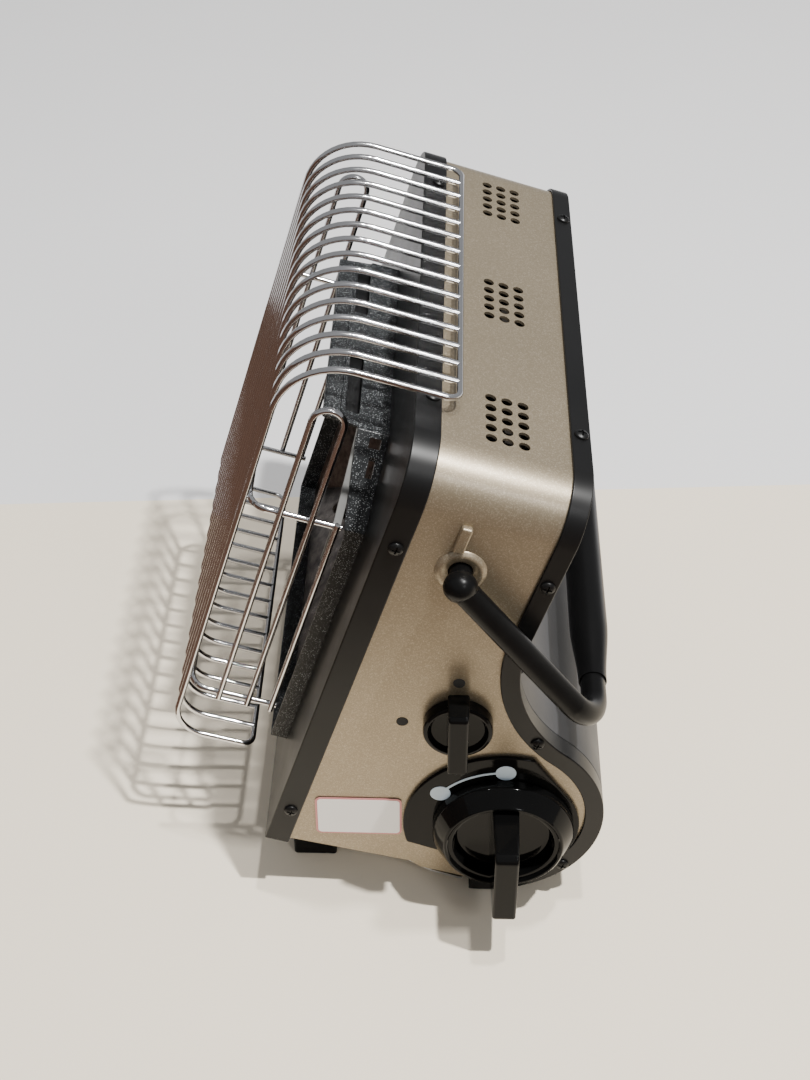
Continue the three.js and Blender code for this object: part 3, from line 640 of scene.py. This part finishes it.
def rear_frame():
    """Band round the back edge, the rims that the canister cover closes between, and the sill below it."""
    end = SIDE_BAND_END
    outer = [(REAR_EDGE, 20.0)] + back_line(0, end)
    inner = back_line(REAR_BAND, end)[::-1] + [(REAR_EDGE - REAR_BAND, 20.0)]
    keep = prism(outer + inner, -BEYOND, BEYOND)
    band = boolean(arch_strip(SHEET + GAP, GAP, BELOW, 0, BEYOND), keep, "INTERSECT")
    bevel(band, 0.5, 3)
    skin = SKIN - 0.4
    rim = back_strip(0, SHEET, COVER_HALF, skin, end, start=COVER_TOP)
    sill = back_strip(0, SHEET, -skin, skin, end, start=COVER_TOP)
    top = COVER_END - 1
    near, far = 20, 60  # from inside the compartment to outside it
    wedge = [polar(LOBE, near, top), polar(LOBE, far, top), polar(LOBE, far, end), polar(LOBE, near, end)]
    boolean(sill, prism(wedge, -BEYOND, BEYOND), "INTERSECT")
    rims = both_sides(bevel(rim, 0.25, 2), "rims")
    piece(merge([band, rims, sill], "rear"), "rear_frame_skin", "case", BLACK, ["rear_frame"])


def rear_panel():
    """Fixed upper panel of the back, with three groups of slots."""

    def line(inset):
        return [(REAR_EDGE - inset, -1.9)] + arc(SWEEP, SWEEP_R + inset, 180, COVER_TOP - 4, 12)

    inset = SHEET + 0.4
    obj = prism(line(0) + line(SHEET)[::-1], -HALF + inset, HALF - inset)
    boolean(obj, prism(arch_line(-inset, BELOW), 0, BEYOND, "y"), "INTERSECT")
    slots = []
    half, r = 18.5, 1.5
    for i in (-1, 0, 1):
        for j in range(3):
            x, z = 60 * i, -28.5 - 8 * j
            left = arc((x - half, z), r, 90, 270, 10)
            right = arc((x + half, z), r, -90, 90, 10)
            slots.append(prism(left + right, REAR_EDGE - 6, REAR_EDGE + 6, "y"))
    cut(obj, merge(slots, "slots"))
    bevel(obj, 0.3, 2)
    piece(obj, "rear_panel_skin", "case", GREY, ["rear_panel"])


def can_cover():
    """Curved cover of the gas compartment, with its hinge knuckle at the top and its pull at the bottom."""
    half = COVER_HALF - GAP
    skin = bevel(back_strip(0, 1.5, -half, half, COVER_END, start=COVER_TOP), 0.4, 3)
    hinge = polar(SWEEP, SWEEP_R + 0.6, COVER_TOP - 1.4)
    knuckle = bevel(turned([(0, -half), (2.2, -half), (2.2, half), (0, half)], *hinge, steps=32), 0.4, 2)
    y, z = polar(LOBE, LOBE_R - 0.6, COVER_END + 5)
    pull = block(-20, 20, -1.5, 1.5, -1.3, 1.3)
    pull.data.transform(Matrix.Translation((0, y, z)) @ Matrix.Rotation(math.radians(COVER_END), 4, "X"))
    bevel(pull, 0.7, 3)
    cover = merge([skin, knuckle, pull], "cover")
    piece(cover, "can_cover_skin", "cover", GREY, ["can_cover"])


def feet():
    """The CAD's feet with rounded edges."""
    for name in ("right", "left"):
        for kind, material, slot, edge in (
            ("front_foot", HANDLE, "handle_black", 1.4),
            ("rear_foot", RUBBER, "rubber", 0.3),
        ):
            node = f"{kind}_{name}"
            source = frame["nodes"][node]
            obj = bpy.data.objects.new(node + "_skin", source.data.copy())
            bpy.context.scene.collection.objects.link(obj)
            obj.data.transform(TO_PART.inverted())
            weld(obj)
            bevel(obj, edge, 4)
            piece(obj, node + "_skin", "case", material, [node])


def side_label():
    """Blank sticker with a plain coloured rim."""
    y0, y1, z0, z1 = LABEL
    rim_width, corner = 0.9, 2.4

    def outline(inset, r):
        points = []
        for y, z, start in ((y1, z1, 0), (y0, z1, 90), (y0, z0, 180), (y1, z0, 270)):
            cy = y + (-inset - r if y == y1 else inset + r)
            cz = z + (-inset - r if z == z1 else inset + r)
            points += arc((cy, cz), r, start, start + 90, 6)
        return points

    x = HALF + GAP
    rim = level(prism(outline(0, corner), x, x + 0.25))
    face = level(prism(outline(rim_width, corner - 0.7), x + 0.1, x + 0.38))
    piece(rim, "label_rim", "case", LABEL_RIM, ["side_label"])
    piece(face, "label_face", "case", PALE)


def screws():
    """Domed heads with a cross recess. Places are (y, z) on the sides and (x, y) on the top."""
    rear = REAR_EDGE - REAR_BAND / 2
    sides = {
        "front_upper": (6, -38.3),
        "front_lower": (6.1, -190.6),
        "rear_upper": (rear, -38.9),
        "rear_middle": polar(SWEEP, SWEEP_R + REAR_BAND / 2, 234),
        "rear_lower": polar(LOBE, LOBE_R - REAR_BAND / 2, -25),
    }
    tops = {"front_top": (80, 6.7), "rear_top": (79.5, rear)}
    upright = Matrix.Rotation(math.radians(-90), 4, "Y")

    def head():
        dome = [(0, 0.05), (2.8, 0.05), (2.8, 0.55), (2.6, 0.95), (2.1, 1.3), (1.3, 1.55), (0, 1.7)]
        obj = turned(dome, steps=40)
        arm, half_width = 1.7, 0.35
        for a, b in ((half_width, arm), (arm, half_width)):
            cut(obj, block(0.7, 3, -a, a, -b, b))
        return bevel(obj, 0.08, 2)

    for place, (a, b) in {**sides, **tops}.items():
        for side, name in ((1, "right"), (-1, "left")):
            obj = head()
            if place in tops:
                spot = Matrix.Translation((side * a, b, SHEET + GAP)) @ upright
            else:
                turn = Matrix.Rotation(0 if side > 0 else math.pi, 4, "Z")
                spot = Matrix.Translation((side * SKIN, a, b)) @ turn
            obj.data.transform(spot)
            node = f"screw_{place}_{name}"
            piece(obj, node + "_head", "case", BLACK, [node])


# ---- Burner ----
def burner_frame():
    """Hood round the burner's mouth, which stands further forward at the top, with its slotted top plate."""
    front = [(-12.3, -20), (-12.3, -38), (-10.4, -50), (-8.5, -63), (-7, -70), (-7, BELOW)]
    ring = cut(
        prism(opening_line(0), -14, 12, "y"),
        prism(opening_line(-SHEET), -20, 20, "y"),
        prism([(-30, -20), *front, (-30, BELOW)], -BEYOND, BEYOND),
    )
    bevel(ring, 0.35, 2)
    right = [(57, HOOD_LIP), (ARCH_SHOULDER, -5.7), (ARCH_SHOULDER, HOOD_BACK)]
    corners = [(-57, HOOD_LIP)] + right + [(-ARCH_SHOULDER, HOOD_BACK), (-ARCH_SHOULDER, -5.7)]
    plate = prism(corners, ARCH_TOP - SHEET, ARCH_TOP + 0.05, "z")
    slots = [block(x, x + w, -18, -12, ARCH_TOP - 8, ARCH_TOP + 8) for x, w in HOOD_SLOTS]
    cut(plate, *slots)
    bevel(plate, 0.35, 2)
    lip = bevel(block(-56.8, 56.8, HOOD_LIP, -19.4, ARCH_TOP - 2.6, ARCH_TOP + 0.4), 1.0, 4)
    notches = []
    for s in (-1, 1):
        for x, w, y, d in HOOD_NOTCHES:
            notches.append(block(s * x - w / 2, s * x + w / 2, y, y + d, -70, -36.5))
    cut(ring, *notches)
    hood = merge([ring, plate, lip], "hood")
    piece(hood, "burner_hood", "case", ENAMEL, ["burner_frame"])


def burner_trim():
    """Black sheet under the hood's slots, a stand-in for the shade deep in them (painted shade), and the
    reflector's bright side edges.
    """
    # Painted shade: a black sheet close under the slots, so that they read as deep dark holes.
    slot_shade_sheet = bevel(block(-56, 56, -19.2, 0.1, ARCH_TOP - 3.8, ARCH_TOP - 2.9), 0.2, 2)
    piece(slot_shade_sheet, "hood_slot_shade", "case", BLACK)
    edge = prism(opening_line(-SHEET - 0.2), -12.6, -9.4, "y")
    cut(edge, prism(opening_line(-SHEET - 1.6), -20, 20, "y"))
    cut(edge, block(-56, 56, -20, 20, BELOW, 0), block(-BEYOND, BEYOND, -20, 20, BELOW, -84))
    piece(bevel(edge, 0.3, 2), "reflector_edges", "case", DULL)


def burner_mesh():
    """Fine woven wire in front of the ceramic."""
    wires = []
    for i in range(MESH_COLUMNS):
        x = -MESH_HALF + 2 * MESH_HALF * i / (MESH_COLUMNS - 1)
        y = MESH_Y - 0.25
        wires.append(tube([(x, y, MESH_LOW), (x, y, MESH_HIGH)], MESH_WIRE, sides=8))
    for j in range(MESH_ROWS):
        z = MESH_LOW + (MESH_HIGH - MESH_LOW) * j / (MESH_ROWS - 1)
        y = MESH_Y + 0.25
        wires.append(tube([(-MESH_HALF, y, z), (MESH_HALF, y, z)], MESH_WIRE, sides=8))
    piece(merge(wires, "weave"), "burner_weave", "case", HOT, ["burner_mesh"])


# ---- Controls ----
def escutcheon():
    """Plate behind the large knob, with its two blank marks and the band that joins them."""
    hub = (0, 0)
    outline = arc(hub, 31.9, -148, 34, 48) + arc(hub, 42, 74, 196, 48)
    plate = level(prism(outline, HALF + GAP, HALF + 2))
    cut(plate, level(rod(0, 0, 9, 115, 130)))
    bevel(plate, 0.6, 3, 50)
    piece(plate, "escutcheon_plate", "case", GLOSS, ["knob_escutcheon"])
    x = HALF + 2
    marks = []
    profile = [(0, x), (MARK_R, x), (MARK_R, x + 0.15), (MARK_R - 0.2, x + 0.25), (0, x + 0.25)]
    for degrees in MARK_ANGLES:
        marks.append(turned(profile, *polar(hub, MARK_AT, degrees)))
    start, end = MARK_ANGLES[0] + 7, MARK_ANGLES[1] - 7
    band = arc(hub, MARK_AT + 0.5, start, end, 20) + arc(hub, MARK_AT - 0.5, start, end, 20)[::-1]
    marks.append(prism(band, x, x + 0.2))
    piece(level(merge(marks, "marks")), "escutcheon_marks", "case", MARK)


def knob_bar(x0, x1, low, high, foot, face, round_top, round_foot):
    """Finger bar of a knob about its axis, seen from the side as a block rounded at its outer ends.

    foot and face are its (lowest, highest) y where it leaves the dial and at its outer face.
    """
    outline = [(x0, low)]
    outline += arc((x1 - round_foot, low + round_foot + 0.6), round_foot, -90, 0, 8)
    outline += arc((x1 - round_top, high - round_top - 0.6), round_top, 0, 90, 8)
    outline += [(x0, high)]
    obj = prism(outline, -1, 1, "y")
    for v in obj.data.vertices:
        share = (v.co.x - x0) / (x1 - x0)
        edge = 0 if v.co.y < 0 else 1
        v.co.y = foot[edge] + (face[edge] - foot[edge]) * share
    return bevel(obj, 1.1, 4, 50)


def ignition_knob():
    """Large stepped dial with a tall finger bar across it."""
    x = HALF
    skirt = [(KNOB_R - 0.4, 2.4), (KNOB_R, 2.8), (KNOB_R, 6.0), (KNOB_R - 0.5, 7.0)]
    rim = [(25.6, 12.2), (25.1, 13.1), (24.4, 13.6), (23.7, 13.6), (23.2, 13.2), (22.9, 12.2)]
    dish = [(21.9, 12.2), (21.3, 11.9), (21.0, 11.2), (20.0, 7.4), (19.2, 6.5), (17.8, 6.2)]
    profile = [(r, x + out) for r, out in [(0, 2.4), *skirt, *rim, *dish, (0, 5.6)]]
    dial = cut(turned(profile, steps=128), rod(0, 0, 4.3, x, x + 4.6))
    bar = knob_bar(x + 5.2, x + 36, -20.4, 20.6, (-5.2, 6.0), (-4.2, 5.4), 4, 2.4)
    knob = level(merge([dial, bar], "knob"))
    piece(knob, "ignition_knob_cap", "ignition", GLOSS, ["ignition_knob"])


def mode_knob():
    """Small dial with a finger bar, and the two dots beside it."""
    x = HALF
    skirt = [(MODE_R, 0.6), (MODE_R, 5.0), (MODE_R - 0.5, 5.8)]
    dish = [(MODE_R - 1.2, 6.0), (MODE_R - 1.9, 5.8), (MODE_R - 2.4, 5.0), (MODE_R - 3.4, 3.9)]
    profile = [(r, x + out) for r, out in [(0, 0.6), *skirt, *dish, (0, 3.4)]]
    dial = cut(turned(profile, steps=96), rod(0, 0, 3.3, x - 1, x + 2.4))
    bar = knob_bar(x + 2.6, x + 16, -14.4, 19, (-4.4, 4.4), (-3.9, 3.9), 2.6, 1.6)
    spot = Matrix.Translation((0, *MODE)) @ Matrix.Rotation(TILT, 4, "X")
    obj = merge([dial, bar], "knob")
    obj.data.transform(spot)
    piece(obj, "mode_knob_cap", "mode", GLOSS, ["mode_knob"])
    dots = []
    profile = [(0, x - 0.1), (DOT_R, x - 0.1), (DOT_R, x + 0.12), (DOT_R - 0.2, x + 0.2), (0, x + 0.2)]
    for degrees in DOT_ANGLES:
        dots.append(turned(profile, *polar((0, 0), DOT_AT, degrees), 40))
    spots = merge(dots, "dots")
    spots.data.transform(spot)
    piece(spots, "mode_dots", "case", RUBBER)


# ---- Carrying handle ----
def handle():
    """Bail with a ball at each pivot, and the grip that tapers to the bail's arms."""
    right = [(0, *GRIP), (ARM_X, *GRIP, ARM_BEND), (ARM_X, *PIVOT)]
    arm = tube(right, ARM_R, sides=24, steps=20)
    bulge = [polar((0, 0), 1, degrees) for degrees in range(-75, 90, 15)]
    profile = [(BALL_R * a, ARM_X + BALL_DEEP * b) for a, b in bulge]
    ball = turned([(0, ARM_X - BALL_DEEP), *profile, (0, ARM_X + BALL_DEEP)], *PIVOT, steps=48)
    stub_r, x0, x1 = 4.2, HALF - 6.4, ARM_X - 3
    stub = turned([(0, x0), (stub_r, x0), (stub_r, x1), (0, x1)], *PIVOT, steps=40)
    bail = both_sides(merge([arm, ball, stub], "side"), "bail")
    piece(bail, "handle_bail_skin", "handle", HANDLE, ["handle_bail"], shade=40)

    end = GRIP_HALF + GRIP_TAPER
    steps = 16
    taper = []
    for i in range(steps + 1):
        t = i / steps
        ease = t * t * (3 - 2 * t)
        taper.append((GRIP_R + (ARM_R + 0.6 - GRIP_R) * ease, GRIP_HALF + GRIP_TAPER * t))
    half = taper + [(ARM_R + GAP, end)]
    profile = [(r, -x) for r, x in reversed(half)] + half
    profile.append(profile[0])
    grip = turned(profile, *GRIP, steps=40)
    piece(grip, "handle_grip_skin", "handle", HANDLE, ["handle_grip"])


# ---- Wire guard ----
def guard():
    """Welded wire guard: an edge wire, fourteen wires inside it, two hoops, and a hairpin and stay a side."""
    wires = []
    outer = 7.5 * PITCH
    half = [
        (0, GUARD_BACK, GUARD_TOP), (outer, GUARD_BACK, GUARD_TOP, 5),
        (outer, GUARD_FRONT, GUARD_TOP, BEND_TOP), (outer, GUARD_FRONT, GUARD_BOTTOM, BEND_BOTTOM),
        (outer, GUARD_HEEL, GUARD_BOTTOM, 5), (0, GUARD_HEEL, GUARD_BOTTOM),
    ]
    wires.append(both_sides(tube(half, WIRE, steps=12), "edge"))
    for i in range(1, 15):
        x = (i - 7.5) * PITCH
        line = [
            (x, GUARD_BACK, GUARD_TOP), (x, GUARD_FRONT, GUARD_TOP, BEND_TOP),
            (x, GUARD_FRONT, GUARD_BOTTOM, BEND_BOTTOM), (x, GUARD_HEEL, GUARD_BOTTOM),
        ]
        wires.append(tube(line, WIRE, steps=12))
    y = GUARD_FRONT + 2 * WIRE - WELD
    for z in HOOPS:
        half = [(0, y, z), (HOOP_X, y, z, 8), (HOOP_X, HOOP_END, z)]
        wires.append(both_sides(tube(half, WIRE), "hoop"))
    x = HOOP_X + 2 * WIRE - WELD
    high, low = HOOPS[0] + 3, HOOPS[1] - 1.4
    far, near = HAIRPIN
    r = (near - far) / 2 - 0.01  # just under half the width, so that its two bends don't meet
    line = [(x, far, low), (x, far, HAIRPIN_TOP, r), (x, near, HAIRPIN_TOP, r), (x, near, low)]
    hairpin = tube(line, WIRE, steps=14)
    stay = tube([(x, STAY_Y, high), (x, STAY_Y, low)], WIRE)
    wires.append(both_sides(merge([hairpin, stay], "side"), "sides"))
    nodes = ["guard_front", "guard_top", "guard_bottom", "guard_side_right", "guard_side_left"]
    piece(merge(wires, "guard"), "guard_wires", "case", CHROME, nodes, shade=50)


# ---- CAD pieces that stay, with their finish ----
KEPT = {
    "base_plate": STEEL, "mixing_tube": STEEL, "can_cradle": STEEL, "magnet_seat": STEEL,
    "burner_plaque": CERAMIC, "ignition_electrode": CERAMIC, "reflector": HOT,
    "burner_box": BURNT, "thermocouple": BURNT, "sensor_bracket": BURNT, "heat_shield": BURNT,
    "gas_nozzle": BRASS, "gas_pipe": BRASS, "regulator": BRASS, "valve_spindle": BRASS,
    "mode_valve": BRASS, "mode_spindle": BRASS, "gas_canister": PALE,
    "igniter_body": HANDLE, "igniter_plunger": HANDLE, "tip_over_switch": HANDLE,
}


def finish_kept_nodes():
    for node, material in KEPT.items():
        obj = frame["nodes"][node]
        obj.data.materials.clear()
        obj.data.materials.append(material)


# ---- Stage, light and camera ----
def stage_material(name, tone, rough=0.4):
    n = Nodes(name)
    darker = tuple(c * 0.96 for c in tone)
    n.bump(n.noise(30, 3), 0.03, 0.0005)
    satin = n.ramp(n.noise(7), (0.3, rough), (0.7, rough + 0.1))
    return n.finish(Base_Color=n.mix(n.noise(4, 3), darker, tone), Roughness=satin, Specular_IOR_Level=0.3)


def card(name, corners, material):
    bm = bmesh.new()
    bm.faces.new([bm.verts.new(c) for c in corners])
    obj = new_object(name, bm)
    obj.data.materials.append(material)
    return obj


def table():
    """Cream table with a cooler pale ground beyond its edge, which runs a little askew as X against Y."""
    reach = 4
    slope = (TABLE_EDGE_RIGHT[0] - TABLE_EDGE_LEFT[0]) / (TABLE_EDGE_RIGHT[1] - TABLE_EDGE_LEFT[1])
    near, far = [(TABLE_EDGE_LEFT[0] + slope * (y - TABLE_EDGE_LEFT[1]), y, 0) for y in (-reach, reach)]
    paint = stage_material("table_paint", (0.93, 0.83, 0.67), 0.28)
    card("table", [near, (reach, -reach, 0), (reach, reach, 0), far], paint)
    paint = stage_material("ground_paint", (0.8, 0.795, 0.8), 0.6)
    card("ground", [near, far, (-6, reach, 0), (-6, -reach, 0)], paint)


def furniture():
    """Brown floor and cupboards round the table, seen only in reflections."""
    wood = stage_material("furniture_wood", (0.085, 0.044, 0.028))
    rise, top = 0.003, 0.9
    x0, x1, x2 = -0.4, 0.26, 2.4
    y0, y1, y2 = -1.6, -0.15, 1.5
    for name, corners in (
        ("floor_left", [(x0, y0, rise), (x1, y0, rise), (x1, y1, rise), (x0, y1, rise)]),
        ("floor_front", [(x1, y0, rise), (x2, y0, rise), (x2, y2, rise), (x1, y2, rise)]),
        ("cupboard_left", [(x0, y0, 0), (x2, y0, 0), (x2, y0, top), (x0, y0, top)]),
        ("cupboard_front", [(x2, y0, 0), (x2, y2, 0), (x2, y2, top), (x2, y0, top)]),
    ):
        obj = card(name, corners, wood)
        obj.visible_camera = False
        obj.visible_diffuse = False
        obj.visible_shadow = False


def area_light(name, place, target, size, power, color=(1, 1, 1)):
    data = bpy.data.lights.new(name, "AREA")
    data.size = size
    data.energy = power
    data.color = color
    obj = bpy.data.objects.new(name, data)
    obj.location = place
    obj.rotation_euler = (Vector(target) - Vector(place)).to_track_quat("-Z", "Y").to_euler()
    bpy.context.scene.collection.objects.link(obj)


def lights():
    """Two small ceiling lamps, a weak lamp in front, and the room's own pale light."""
    middle = (0, 0, 0.13)
    area_light("ceiling_back", (0.0, 0.35, 2.4), middle, 0.08, 28, (1.0, 0.985, 0.96))
    area_light("ceiling_front", (0.4, 0.76, 2.1), middle, 0.06, 72, (1.0, 0.99, 0.97))
    area_light("front_lamp", (1.5, 0.9, 1.55), middle, 0.3, 6)
    world = bpy.data.worlds.new("room")
    world.use_nodes = True
    background = world.node_tree.nodes["Background"]
    background.inputs["Color"].default_value = (0.82, 0.83, 0.85, 1)
    background.inputs["Strength"].default_value = 0.42
    bpy.context.scene.world = world


def camera():
    """Stands at the right-hand side, looking down at the heater."""
    data = bpy.data.cameras.new("camera")
    data.lens = CAMERA_LENS
    data.sensor_width = CAMERA_SENSOR
    data.sensor_fit = "AUTO"
    data.clip_start = 0.01
    obj = bpy.data.objects.new("camera", data)
    obj.location = PLACE.translation + Vector(CAMERA_FROM_BODY)
    obj.rotation_euler = [math.radians(angle) for angle in CAMERA_TURN]
    bpy.context.scene.collection.objects.link(obj)
    bpy.context.scene.camera = obj


camera()
shell()
front_frame()
rear_frame()
rear_panel()
can_cover()
feet()
side_label()
screws()
burner_frame()
burner_trim()
burner_mesh()
escutcheon()
ignition_knob()
mode_knob()
handle()
guard()
finish_kept_nodes()
table()
furniture()
lights()
